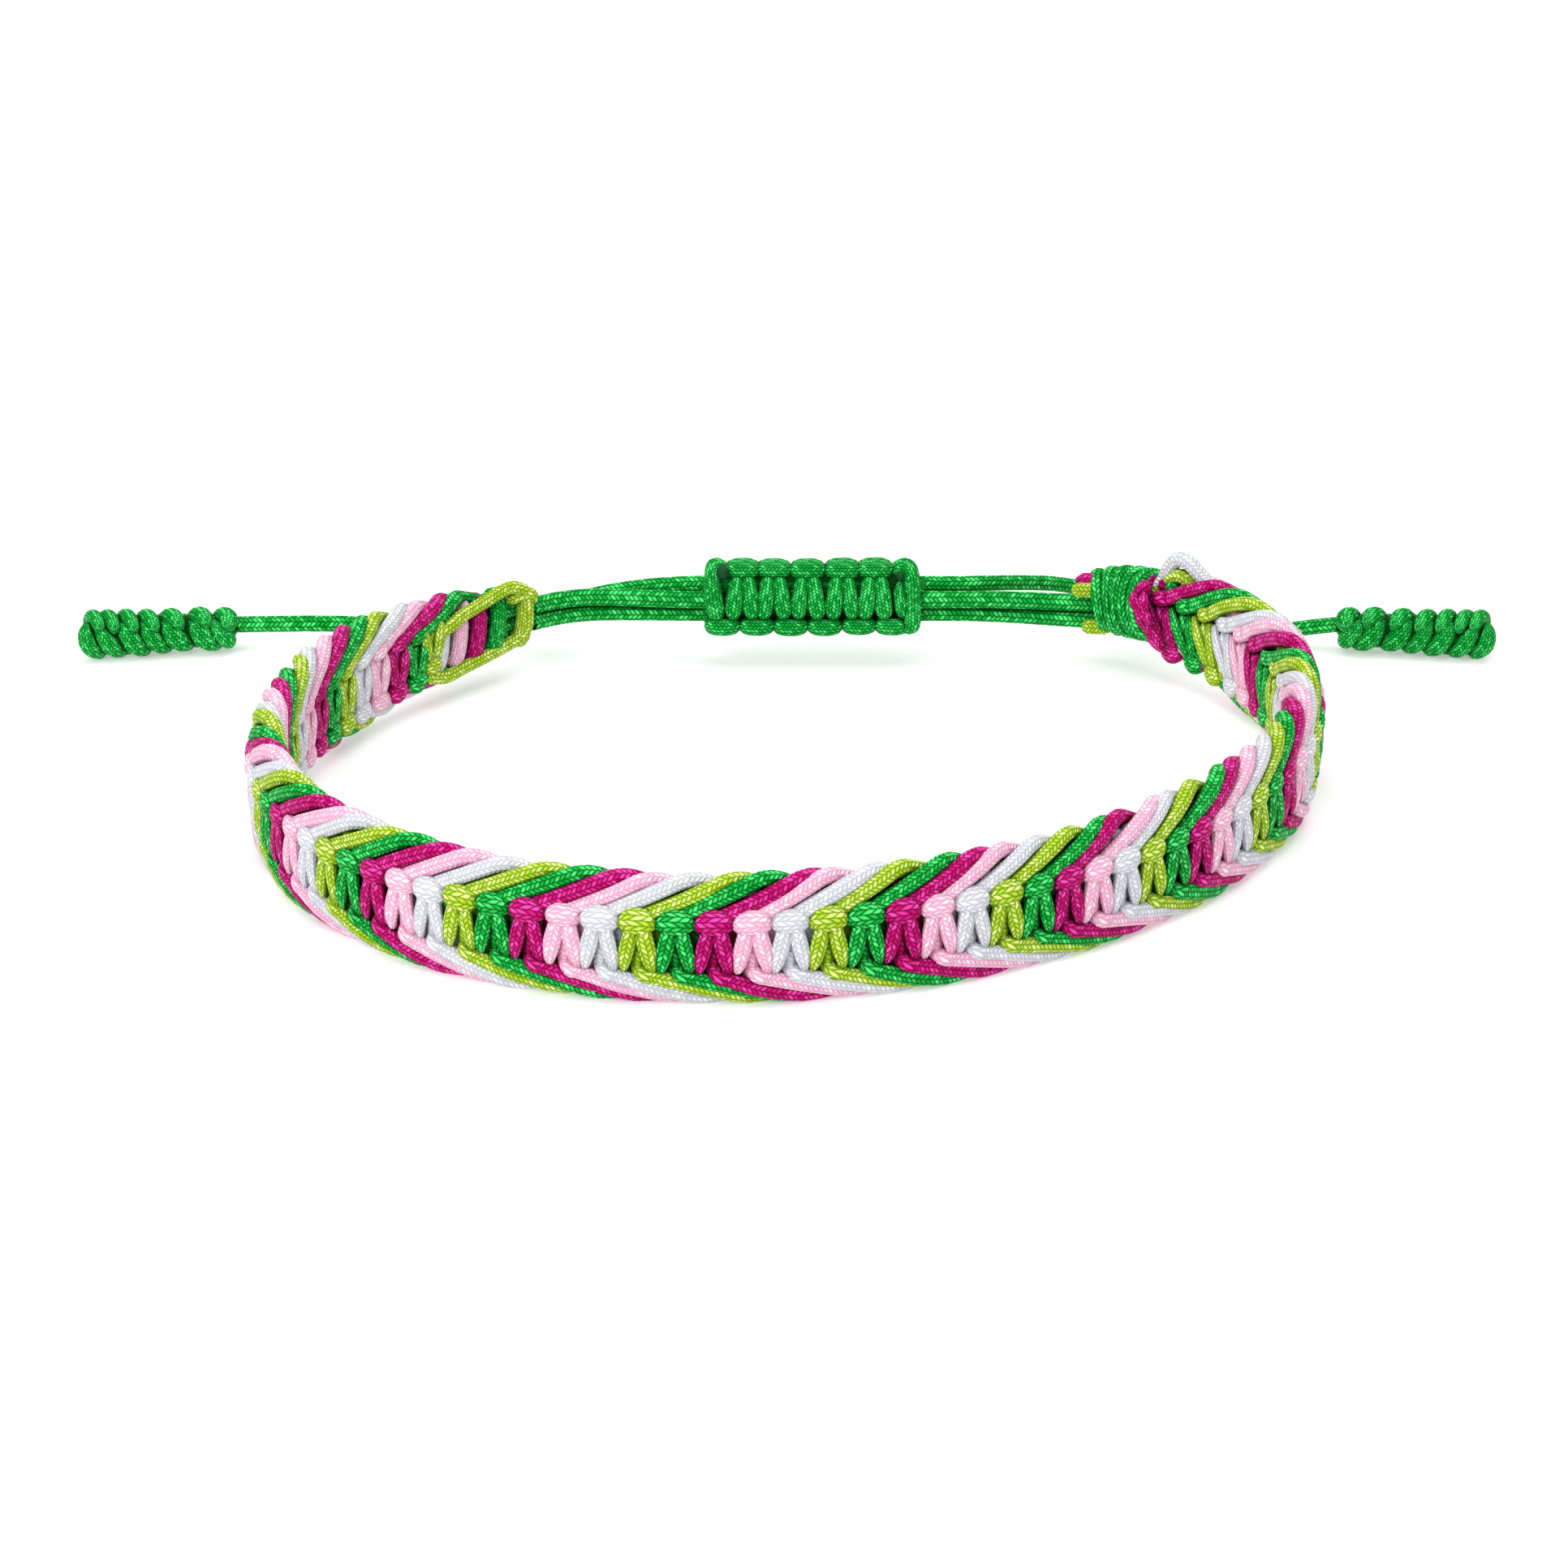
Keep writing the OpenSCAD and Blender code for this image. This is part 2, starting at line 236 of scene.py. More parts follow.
def shelter(start, cords, among):
    """How deep each point of the cords lies in the slits between them and what they lie among, from 0 to 1,
    for the cords' painted shade. Short rays leave the point to all sides, and the near ones that meet a cord
    count most."""
    normal = start.node("GeometryNodeInputNormal")
    origin = start.vector("ADD", start.node("GeometryNodeInputPosition"), normal.scaled(shelter_lift))
    around = start.node("GeometryNodeJoinGeometry", {0: [cords, among]})
    met = 0.0
    for ray in range(shelter_rays):
        up = 1 - (2 * ray + 1) / shelter_rays
        turn = ray * math.pi * (3 - math.sqrt(5))
        side = shelter_spread * math.sqrt(1 - up * up)
        lean = (side * math.cos(turn), side * math.sin(turn), shelter_spread * up)
        way = start.vector("NORMALIZE", start.vector("ADD", normal, lean))
        hit = start.node("GeometryNodeRaycast", {
            "Target Geometry": around, "Source Position": origin,
            "Ray Direction": way, "Ray Length": shelter_l,
        }, output="Is Hit")
        met = met + (1.0 - hit.other("Hit Distance") / shelter_l) * hit
    return met / shelter_rays


finer_plait = 0.6


def sweep_tree():
    """Makes a cord along each line: smooths it, sweeps a round section of the line's own radius along it,
    lays the UV map on it, in metres along the cord and once round it, merges its seam and tips and keeps how
    deep it lies among the cords of the object Among, for its painted shade. Where the cord is thicker than
    Thick, the map repeats faster, so that the plait stays fine."""
    tree = bpy.data.node_groups.new("cord sweep", "GeometryNodeTree")
    given = sockets(
        tree, Geometry="NodeSocketGeometry", Smoothness="NodeSocketInt", Sides="NodeSocketInt",
        Thick="NodeSocketFloat", Among="NodeSocketObject", Material="NodeSocketMaterial",
    )
    start = Strand(tree)
    line = start.node("GeometryNodeCurveSplineType", {0: given["Geometry"]}, spline_type="CATMULL_ROM")
    line = start.node("GeometryNodeSetSplineResolution", {0: line, "Resolution": given["Smoothness"]})
    line = line.stored("along", start.node("GeometryNodeSplineParameter", output="Length"))
    radius = start.node("GeometryNodeInputRadius")
    line = line.stored("wide", 1.0 + radius.sum("GREATER_THAN", radius, given["Thick"]) * finer_plait)
    ring = start.node("GeometryNodeCurvePrimitiveLine", {"End": (1, 0, 0)})
    ring = start.node("GeometryNodeResampleCurve", {0: ring, "Count": given["Sides"] + 1.0})
    share = start.node("GeometryNodeSplineParameter")
    ring = ring.stored("around", share)
    turn = share * (2 * math.pi)
    circle = start.node("ShaderNodeCombineXYZ", {0: turn.sum("COSINE", turn), 1: turn.sum("SINE", turn)})
    ring = start.node("GeometryNodeSetPosition", {0: ring, "Position": circle})
    tube = start.node("GeometryNodeCurveToMesh", {0: line, 1: ring, "Scale": radius})
    wide = start.kept("wide")
    uv = start.node("ShaderNodeCombineXYZ", {0: start.kept("along") * wide, 1: start.kept("around") * wide})
    tube = tube.stored("UVMap", uv, "FLOAT2", "CORNER")
    tube = start.node("GeometryNodeMergeByDistance", {0: tube, "Distance": 0.001 * mm})
    among = start.node("GeometryNodeObjectInfo", {"Object": given["Among"]}, output="Geometry")
    tube = tube.stored("shelter", shelter(start, tube, among))
    tube = start.node("GeometryNodeSetShadeSmooth", {0: tube})
    tube = start.node("GeometryNodeRealizeInstances", {0: tube})
    tube = start.node("GeometryNodeSetMaterial", {0: tube, "Material": given["Material"]})
    start.node("NodeGroupOutput", {0: tube})
    return tree


def give(piece, tree, **values):
    """Adds a tree to a piece as a modifier and sets its inputs by their identifiers."""
    modifier = piece.modifiers.new(tree.name, "NODES")
    modifier.node_group = tree
    names = {item.name: item.identifier for item in tree.interface.items_tree if item.in_out == "INPUT"}
    for name, value in values.items():
        modifier[names[name]] = value


def curve_of(name, lines):
    """A curve object with one line for each list of (x, y, z, radius)."""
    curve = bpy.data.curves.new(name, "CURVE")
    curve.dimensions = "3D"
    for line in lines:
        spline = curve.splines.new("POLY")
        spline.points.add(len(line) - 1)
        for point, (x, y, z, radius) in zip(spline.points, line):
            point.co = (x, y, z, 1)
            point.radius = radius
    piece = bpy.data.objects.new(name, curve)
    bpy.context.scene.collection.objects.link(piece)
    return piece


def as_mesh(piece):
    """Swaps a piece with modifiers for the plain mesh that they make."""
    graph = bpy.context.evaluated_depsgraph_get()
    mesh = bpy.data.meshes.new_from_object(
        piece.evaluated_get(graph), preserve_all_data_layers=True, depsgraph=graph,
    )
    name = piece.name
    source = piece.data
    bpy.data.objects.remove(piece)
    bpy.data.curves.remove(source)
    for spare in ("along", "around", "wide"):
        if spare in mesh.attributes:
            mesh.attributes.remove(mesh.attributes[spare])
    mesh.name = name
    made = bpy.data.objects.new(name, mesh)
    bpy.context.scene.collection.objects.link(made)
    return made


# Each row is (radii past a line's last point, share of the radius) of a round tip.
tip_rows = [(0.45, 0.8), (0.8, 0.5), (0.9, 0.0)]


def closing(before, last, radius):
    """The points of a round tip past a line's last point."""
    way = (Vector(last) - Vector(before)).normalized() * radius
    return [(*(Vector(last) + way * out), radius * share) for out, share in tip_rows]


def tipped(line):
    """Closes both ends of a line of (x, y, z, radius) with a round tip."""
    head = closing(line[1][:3], line[0][:3], line[0][3])
    tail = closing(line[-2][:3], line[-1][:3], line[-1][3])
    return head[::-1] + list(line) + tail


def rounded(line, radius):
    """Gives each point of a line a radius and closes both its ends with a round tip."""
    return tipped([(*point, radius) for point in line])


cord_sweep = sweep_tree()
# The nylon is given by its painted shadow colour, its own colour and its painted highlight colour.
green_nylon = plaited_nylon(
    "green nylon", (0.0, 0.05, 0.004, 1), (0.0, 0.47, 0.045, 1), (0.09, 0.98, 0.22, 1),
)
cord_d = 1 * mm
thick_cord = 0.6 * mm
tail_r = {"left": 0.53 * mm, "right": 0.5 * mm}
# Each row is a point in millimetres.
tail_routes = {
    "left": [
        (-5.25, 29.3, 5.05), (-7.5, 29.35, 4.95), (-9.7, 29.5, 4.7), (-11.9, 29.75, 4.25),
        (-14, 30.1, 3.6), (-16.1, 30.6, 2.8), (-18.2, 31.15, 2), (-20.3, 31.75, 1.2),
        (-22.4, 32.2, 0.7), (-24.4, 32.5, 0.5), (-26.3, 32.55, 0.65), (-28.2, 32.3, 1.15),
        (-30.4, 31.8, 1.4), (-33.1, 31.2, 1.6), (-35.85, 30.8, 1.7),
    ],
    "right": [
        (8.6, 29.3, 5.05), (10.8, 29.4, 5), (12.9, 29.95, 4.85), (14.9, 31, 4.5), (16.8, 32.3, 4),
        (18.6, 33.6, 3.3), (20.5, 34.7, 2.4), (22.5, 35.4, 1.5), (24.6, 35.6, 0.8), (26.7, 35.2, 0.5),
        (28.7, 34.2, 0.5), (30.6, 32.9, 0.65), (32.3, 31.7, 1), (33.9, 31, 1.45), (35.5, 30.8, 1.7),
    ],
}
tails = {}
for side, route in tail_routes.items():
    tail = curve_of(f"{side}_tail", [[(x * mm, y * mm, z * mm, tail_r[side]) for x, y, z in route]])
    give(tail, cord_sweep, Smoothness=6, Sides=16, Thick=thick_cord, Material=green_nylon)
    tails[side] = as_mesh(tail)


# End knots: each tail is tied back over itself in a long tight knot that keeps it from slipping through. Its
# turns show as slanting lobes, tucked one under the next, in rows round the knot.
# Each row of lobes is (degrees that it faces above the front, a lobe's lean in mm, mm along to each lobe).
lobes = [
    (-17, 0.72, (0.75, 2.05, 3.85, 5.2, 6.6, 8.1, 9.45)),
    (103, 0.5, (0.7, 2.4, 4.2, 5.7, 7.0, 8.2, 9.15)),
    (223, 0.5, (0.8, 2.3, 3.8, 5.3, 6.8, 8.3)),
]
lobe_turn = 64
# Each row is (share of the half turn, share of the radius): the upper end of a lobe is pulled narrow.
lobe_rows = [(-1.0, 0.75), (-0.6, 0.98), (-0.1, 1.0), (0.45, 0.86), (0.85, 0.62), (1.05, 0.4)]
# A lobe's radius is a share of the way to its neighbours, between a least and a most in millimetres.
lobe_r_share = 0.465
lobe_r_least = 0.57
lobe_r_most = 0.74
lobe_sink = 0.03
lobe_tuck = 0.6
# Lobes keep this far from the knot's start and from its end, in millimetres.
lobes_from = 0.5
lobes_short = 0.25
# Each row is (share of the knot's length, mm from its middle line to its surface, mm that it lies forward).
knot_swell = [(0, 1.36, 0.3), (0.12, 1.5, 0.4), (0.3, 1.46, 0.6), (0.6, 1.62, 1.1), (1, 1.72, 1.6)]
knot_up = (knot_swell[-1][1] - 0.15) * mm
heart_depth = 0.6 * mm


def looked_up(x, table, column=1):
    """Reads a table whose rows start with x, straight between its rows and level past its ends."""
    if x <= table[0][0]:
        return table[0][column]
    for low, high in zip(table, table[1:]):
        if x <= high[0]:
            return low[column] + (high[column] - low[column]) * (x - low[0]) / (high[0] - low[0])
    return table[-1][column]


def end_knot_lines(start, way, length, chance):
    """The lobes of an end knot and the plain cord inside. It runs from the tail's end in direction way."""
    lines = []

    def at(x, degrees, inside):
        share = x * mm / length
        out = looked_up(share, knot_swell) * mm - inside
        forward = looked_up(share, knot_swell, 2) * mm
        angle = math.radians(degrees)
        return (
            start.x + way * x * mm, start.y - forward - out * math.cos(angle),
            knot_up + out * math.sin(angle),
        )

    for facing, lean, middles in lobes:
        for count, middle in enumerate(middles):
            near = [abs(middle - other) for other in middles[max(0, count - 1):count + 2] if other != middle]
            lobe_r = min(lobe_r_most, max(lobe_r_least, lobe_r_share * sum(near) / len(near))) * mm
            swell = chance.uniform(0.93, 1.05)
            turned = chance.uniform(-7, 7)
            line = []
            for step, share in lobe_rows:
                place = min(max(middle + step * lean, lobes_from), length / mm - lobes_short)
                inside = lobe_r * (share + lobe_sink + lobe_tuck * max(0, step) ** 2)
                line.append((*at(place, facing + turned + lobe_turn * step, inside), lobe_r * share * swell))
            lines.append(tipped(line))
    heart = []
    for share in (0.11, 0.3, 0.55, 0.89):
        outer = looked_up(share, knot_swell) * mm
        heart.append((*at(length / mm * share, 0, outer), outer - heart_depth))
    lines.append(tipped(heart))
    return lines


for side, way in (("left", -1), ("right", 1)):
    low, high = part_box(f"end_knot_{side}")
    start = Vector((high.x if way < 0 else low.x, (low.y + high.y) / 2, (low.z + high.z) / 2))
    knot = curve_of(f"{side}_end_knot", end_knot_lines(start, way, high.x - low.x, random.Random(11)))
    give(knot, cord_sweep, Smoothness=4, Sides=14, Thick=0.0, Material=green_nylon)
    knot = as_mesh(knot)
    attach(knot, "root")
    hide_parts(f"end_knot_{side}")
    tail = tails[side]
    route = [Vector(point) * mm for point in tail_routes[side]]
    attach(tail, "root")
    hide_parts(f"tail_{side}")


# Sliding knot: a bar of flat knots that one more green cord makes round the four straight cords, so that
# the bracelet can be drawn tight. Turns show along its upper and lower edge, with pairs of legs between them.
# The cord's two cut ends are melted into dark beads beside the first and the last turn.
slider_low, slider_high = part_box("slider_knot")
slider_middle = (slider_low + slider_high) / 2
slider_size = slider_high - slider_low
slider_pitch = 2.2 * mm
slider_start = slider_low.x - 0.4 * mm
slider_lift = 0.3 * mm
# The knot's upper edge leans back from the front.
slider_lean = math.radians(16)
turn_r = 0.55 * mm
# How many knots from the start the turns along the lower and the upper edge lie.
bottom_bars = [0.55, 1.55, 2.54, 3.54, 4.55, 5.52]
top_bars = [1.14, 2.05, 3.04, 4.06, 5.02]
# Each row is (knots along, share of half the thickness, share of half the height), and a share of the
# radius where it isn't the whole.
bar = [
    (-0.31, 0.1, 0.93, 0.8), (-0.30, 0.64, 0.98, 0.95), (-0.15, 0.88, 1, 1), (0.15, 0.88, 1, 1),
    (0.30, 0.64, 0.98, 0.95), (0.31, 0.1, 0.93, 0.8),
]
bar_middle = [(-0.27, 0, 1), (0, 0, 1.02), (0.27, 0, 1)]
left_end = [
    (0.62, 0.1, 0.9), (0.42, 0.55, 1.04), (0.27, 0.85, 0.98), (0.26, 1.05, 0.5, 1.08), (0.3, 1.1, 0, 1.18),
    (0.36, 1.05, -0.35, 1.15), (0.38, 0.7, -0.6),
]
right_end = [
    (-0.75, 0.2, 0.85), (-0.55, 0.55, 1.02), (-0.36, 0.85, 0.95), (-0.27, 1.0, 0.6), (-0.25, 1.1, 0),
    (-0.25, 1.1, -0.5), (-0.28, 0.85, -0.95), (-0.5, 0.2, -0.95),
]
inner_end = [(-0.55, 0.6, 0.55, 0.8), (-0.62, 1.1, 0.2), (-0.56, 1.15, -0.3), (-0.48, 0.8, -0.6, 0.8)]
# Each row is (mm backwards, mm up) of a straight cord inside the knot.
inside_cords = [(0.4, 1.05), (-0.45, 0.25), (0.45, -0.95), (-0.3, -0.75), (-0.25, 0.85)]
heart_up = 0.95 * mm
heart_r = 0.74 * mm
heart_short = 1.4 * mm


def slider_lines(chance):
    """Turns along both edges, legs, the turns at both ends and the straight cords inside."""
    half_z = slider_size.z / 2 - turn_r
    half_y = slider_size.y / 2 - turn_r * 0.9
    lines = []

    def add(middle, rows, radius, face=1, upper=1):
        line = []
        for x, y, z, *thin in rows:
            y, z = face * -y * half_y, upper * z * half_z
            line.append((
                middle + x * slider_pitch,
                slider_middle.y + y * math.cos(slider_lean) + z * math.sin(slider_lean),
                slider_middle.z + slider_lift + z * math.cos(slider_lean) - y * math.sin(slider_lean) * 0.6,
                radius * (thin[0] if thin else 1),
            ))
        lines.append(tipped(line))

    for upper, places in ((1, top_bars), (-1, bottom_bars)):
        for place in places:
            middle = slider_start + slider_pitch * place
            for face in (-1, 1):
                radius = turn_r * chance.uniform(0.97, 1.05)
                add(middle, bar, radius, face=face, upper=upper * chance.uniform(0.98, 1.02))
            add(middle, bar_middle, turn_r, upper=upper)
    for place in top_bars:
        for face in (-1, 1):
            for side in (-1, 1):
                foot = chance.uniform(0.26, 0.31)
                leg = [
                    (0.13, 0.64, 0.84, 0.82), (0.17, 1.02, 0.50, 1.0), (0.22, 1.12, 0.08, 1.12),
                    (foot - 0.02, 1.06, -0.32, 1.12), (foot, 0.78, -0.62, 0.8),
                ]
                leg = [(side * x, y, z, thin) for x, y, z, thin in leg]
                add(slider_start + slider_pitch * place, leg, turn_r * chance.uniform(0.92, 1.0), face=face)
    for y, z in inside_cords:
        lines.append([
            (x, slider_middle.y + y * mm, slider_middle.z + z * mm, cord_d / 2)
            for x in (slider_start - 0.1 * mm, slider_middle.x, slider_high.x + 0.2 * mm)
        ])
    for z in (heart_up, -heart_up):
        ends = (slider_start + heart_short, slider_high.x - heart_short)
        heart = [(x, slider_middle.y, slider_middle.z + slider_lift + z) for x in ends]
        lines.append(rounded(heart, heart_r))
    for face in (-1, 1):
        add(slider_start, left_end, turn_r * 0.95, face=face)
        add(slider_high.x, right_end, turn_r * 1.02, face=face)
        add(slider_high.x, inner_end, turn_r * 0.85, face=face)
    return lines


melted = bpy.data.materials.new("melted nylon")
melted.use_nodes = True
melted_shader = melted.node_tree.nodes["Principled BSDF"]
melted_shader.inputs["Base Color"].default_value = (0.0, 0.05, 0.01, 1)
melted_shader.inputs["Roughness"].default_value = 0.45
melted_shader.inputs["Specular IOR Level"].default_value = 0.15
# Each row is (mm along the knot, mm forward, mm up, radius in mm) of a cut and melted end.
melted_rows = [(1.22, 1.15, 2.0, 0.42), (12.65, 1.3, 1.8, 0.26)]
melted_l = 0.35 * mm
melted_lines = [
    rounded([
        (slider_start + x * mm, slider_middle.y - y * mm + back, slider_middle.z + slider_lift + z * mm)
        for back in (melted_l, 0)
    ], radius * mm)
    for x, y, z, radius in melted_rows
]
melted_ends = curve_of("melted_ends", melted_lines)
give(melted_ends, cord_sweep, Smoothness=2, Sides=14, Thick=thick_cord, Material=melted)
melted_ends = as_mesh(melted_ends)
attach(melted_ends, "root")

slider = curve_of("sliding_knot", slider_lines(random.Random(3)))
give(slider, cord_sweep, Smoothness=4, Sides=14, Thick=0.0, Material=green_nylon)
slider = as_mesh(slider)
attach(slider, "root")
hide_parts("slider_knot")


# Core: two plain green cords run side by side through every knot. At the band's ends they come out and go on
# as the closure's straight cords, to the sliding knot.
loop_r = 31.5 * mm
oval = 2.3 * mm
oval_turn = 46
back_y = 26.3 * mm
back_soft = 0.6 * mm
closure_turn = 87
loop_steps = 720
middle_z = 4 * mm
knots = 68
colours = 5
knot_pitch = 2.16 * mm
eye_pitch = 1.7 * mm
last_knot = knots - 1
# Each table is a length and rows of (share of that length, share of the band's full height).
eye_taper = (19 * mm, [(0, 0.40), (0.16, 0.56), (0.35, 0.68), (0.55, 0.80), (0.78, 0.92), (1, 1)])
end_taper = (12 * mm, [(0, 0.58), (0.25, 0.76), (0.60, 0.93), (1, 1)])
# Each row is (mm from the eye's tip or from the wrapping, share of the lower edge's depth).
low_edge_from_eye = [(0, 0.93), (8, 0.86), (28, 0.84), (45, 1)]
low_edge_from_wrap = [(0, 0.7), (3, 0.85), (6, 1)]
wrap_gap = 0.62 * knot_pitch
wrap_l = 4.6 * mm


def plan(degrees):
    """A point of the loop's centre line: an oval whose back the closure pulls straight."""
    turn = math.radians(degrees)
    radius = loop_r + oval * math.cos(2 * (turn - math.radians(oval_turn)))
    x, y = radius * math.cos(turn), radius * math.sin(turn)
    return Vector((x, y - back_soft * math.log(1 + math.exp((y - back_y) / back_soft)), 0)) + loop_middle


round_loop = [plan(closure_turn + 360 * i / loop_steps) for i in range(loop_steps + 1)]
loop_l = sum((b - a).length for a, b in zip(round_loop, round_loop[1:]))
eye_l = colours * eye_pitch
tip_s = (loop_l - eye_l - last_knot * knot_pitch - wrap_gap - wrap_l) / 2
wrap_s = tip_s + eye_l + last_knot * knot_pitch + wrap_gap
wrap_end_s = wrap_s + wrap_l
# The knots sit a little closer on the loop's left half than on its right half, because they drift along it:
# by end_drift at the ends and nothing in the middle, less middle_drift everywhere, in millimetres.
end_drift = 1.6
middle_drift = 0.7
eye_drift = 0.9 * mm


def knot_s(place):
    """How far along the loop a knot lies, counted from the first one past the eye."""
    from_middle = (place - last_knot / 2) / (last_knot / 2)
    drift = (from_middle ** 2 * end_drift - middle_drift) * mm if place > 0 else eye_drift
    return tip_s + eye_l + drift + place * (eye_pitch if place < 0 else knot_pitch)


def taper(s):
    """The band's height at s, as a share of its full height."""
    eye = looked_up((s - tip_s) / eye_taper[0], eye_taper[1])
    end = looked_up((wrap_s - s) / end_taper[0], end_taper[1])
    return min(eye, end)


def rise(s, z):
    """The height over the band's middle, in metres, of what would lie at z millimetres on the full band.
    Near the eye the lower edge is pulled up, and near the wrapping the upper edge falls less than that."""
    if z < 0:
        near_wrap = looked_up((wrap_s - s) / mm, low_edge_from_wrap)
        return z * taper(s) * looked_up((s - tip_s) / mm, low_edge_from_eye) * near_wrap * mm
    eased = looked_up((wrap_s - s) / end_taper[0], [(0, 0.4), (1, 1)])
    return z * (1 - (1 - taper(s)) * eased) * mm


table_gap = 0.01 * mm


def bend_tree():
    """Bends a straight piece round the loop. Before it, x is the way along the loop, y is outwards from its
    centre line and z is above its middle height. Of what stands out past Limit the share Softness is left,
    and nothing dips under the table."""
    tree = bpy.data.node_groups.new("bend round the loop", "GeometryNodeTree")
    given = sockets(
        tree, Geometry="NodeSocketGeometry", Loop="NodeSocketObject", Height="NodeSocketFloat",
        Limit="NodeSocketFloat", Softness="NodeSocketFloat", Material="NodeSocketMaterial",
    )
    start = Strand(tree)
    loop = start.node("GeometryNodeObjectInfo", {"Object": given["Loop"]}, output="Geometry")
    x = start.node("ShaderNodeSeparateXYZ", {0: start.node("GeometryNodeInputPosition")})
    y, z = x.other("Y"), x.other("Z")
    size = abs(y)
    pressed = size.least(given["Limit"]) + (size - given["Limit"]).most(0.0) * given["Softness"]
    pressed = pressed * y.sum("SIGN", y)
    on_loop = start.node("GeometryNodeSampleCurve", {"Curves": loop, "Length": x}, "Position", mode="LENGTH")
    outwards = start.vector("CROSS_PRODUCT", on_loop.other("Tangent"), (0, 0, 1))
    outwards = start.vector("NORMALIZE", outwards).scaled(pressed)
    upwards = start.node("ShaderNodeCombineXYZ", {2: (z + given["Height"]).most(table_gap)})
    place = start.vector("ADD", start.vector("ADD", on_loop, outwards), upwards)
    bent = start.node("GeometryNodeSetPosition", {0: given["Geometry"], "Position": place})
    bent = start.node("GeometryNodeRealizeInstances", {0: bent})
    bent = start.node("GeometryNodeSetMaterial", {0: bent, "Material": given["Material"]})
    start.node("NodeGroupOutput", {0: bent})
    return tree


softness = 0.45
never_pressed = 5 * mm
bend_round_loop = bend_tree()
loop_line = curve_of("loop_line", [[(*point, 1) for point in round_loop]])


def bent_piece(name, lines, material, limit=never_pressed, sides=12, smoothness=3, among=None):
    """A piece of cords that are laid out straight, swept and then bent round the loop."""
    piece = curve_of(name, lines)
    give(
        piece, cord_sweep, Smoothness=smoothness, Sides=sides, Thick=thick_cord, Among=among,
        Material=material,
    )
    give(
        piece, bend_round_loop, Loop=loop_line, Height=middle_z, Limit=limit, Softness=softness,
        Material=material,
    )
    return as_mesh(piece)


def straight_run(s0, s1, step, place, radius):
    """A cord from s0 to s1 that keeps one place, in millimetres outwards and up."""
    count = max(2, math.ceil(abs(s1 - s0) / step))
    return [(s0 + (s1 - s0) * i / count, place[0] * mm, place[1] * mm, radius) for i in range(count + 1)]


# Each place is (mm outwards, mm up).
core_places = ((0, 0.45), (0, -0.45))
core_r = 0.46 * mm
core_ends = (tip_s - 0.3 * mm, wrap_s + 0.5 * mm)
core = bent_piece(
    "core_cords", [straight_run(*core_ends, 2 * mm, place, core_r) for place in core_places], green_nylon,
)
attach(core, "root")
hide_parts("core")

places_at_band = ((0, 0.56), (0, -0.56))
places_at_knot = ((-0.45, 0.25), (0.45, -0.95))
closure_r = 0.56 * mm
closure_steps = 12
# Each row is (where a pair leaves the band, where it enters the sliding knot, mm that it sags at the band).
closure_pairs = [
    (tip_s + 0.2 * mm, slider_size.x / 2, 0.15),
    (wrap_end_s - 0.6 * mm, loop_l - slider_size.x / 2, 0.7),
]
sag_fall = 1.4
closure_lines = []
for s0, s1, sag in closure_pairs:
    for at_band, at_knot in zip(places_at_band, places_at_knot):
        line = []
        for i in range(closure_steps + 1):
            share = i / closure_steps
            blend = (1 - math.cos(math.pi * share)) / 2
            n, z = (a * (1 - blend) + b * blend for a, b in zip(at_band, at_knot))
            z -= sag * (1 - blend) ** sag_fall
            line.append((s0 + (s1 - s0) * share, n * mm, z * mm, closure_r))
        closure_lines.append(line)
closure = bent_piece("closure_cords_pair", closure_lines, green_nylon, sides=16)
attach(closure, "root")
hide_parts("closure_cords")


# Wrapping: one more length of the green nylon cord is wound round the band's end in five tight slanting
# turns. They bind the loose ends of all the cords, and two closure cords come out of them.
wrap_d = 4.5 * mm
wrap_turns = 5
wrap_lean = 0.38
wrap_r = 0.5 * mm
wrap_from = wrap_s + 0.3 * mm
wrap_to = wrap_end_s + 0.7 * mm
wrap_narrow = 0.35 * mm
wrap_swell = 0.15 * mm
wrap_rise = 0.42 * mm
wrap_heart_r = 1.45 * mm
steps_a_turn = 20
wrap_line = []
for i in range(wrap_turns * steps_a_turn + 1):
    turn = 2 * math.pi * i / steps_a_turn
    share = i / (wrap_turns * steps_a_turn)
    out = wrap_d / 2 + 0.1 * mm - wrap_r - wrap_narrow * share + wrap_swell * math.sin(math.pi * share)
    s = wrap_from + 0.5 * wrap_r + (wrap_to - wrap_from - wrap_r) * share
    z = out * math.sin(turn)
    wrap_line.append((s + wrap_lean * z, out * math.cos(turn), z + wrap_rise * (1 - share), wrap_r))
wrap_heart = straight_run(wrap_from + 0.6 * mm, wrap_to - 0.4 * mm, 1 * mm, (0, 0), wrap_heart_r)
wrap = bent_piece("wrapping", [wrap_line, wrap_heart], green_nylon, sides=14)
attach(wrap, "root")
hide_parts("end_wrap")


# Band: five coloured cords are knotted on in turn. Each knot has a cap and two legs. Two arms go from it over
# the upper and lower edge to the knot of the same cord on the other face, five places on, which is the same
# knot turned upside down.
face_n = 1.0
edge_z = 3.5
arm_r = 0.5 * mm
press = 1.05 * mm
# Each row is (knot, mm that the inner knot lies under the outer one, mm that its arms' ends do).
inner_drops = [
    (0, -0.2, -0.2), (1, 0.45, 0.45), (12, 0.75, 0.75), (45, 1.1, 1.1), (58, 1.1, 0.6), (67, 0.85, 0.3),
]
# Each row is (knot, share of the width that the outer knots have in front): they are slimmer on the left.
outer_widths = [(-1, 0.84), (20, 0.88), (32, 1.0)]
cap_share = 0.85
long_legs = 1.15
first_shift = 0.5 * mm
last_shift = 0.5 * mm
lean_l = 16 * mm
lean_most = 0.52
lean_z = 1.6 * mm

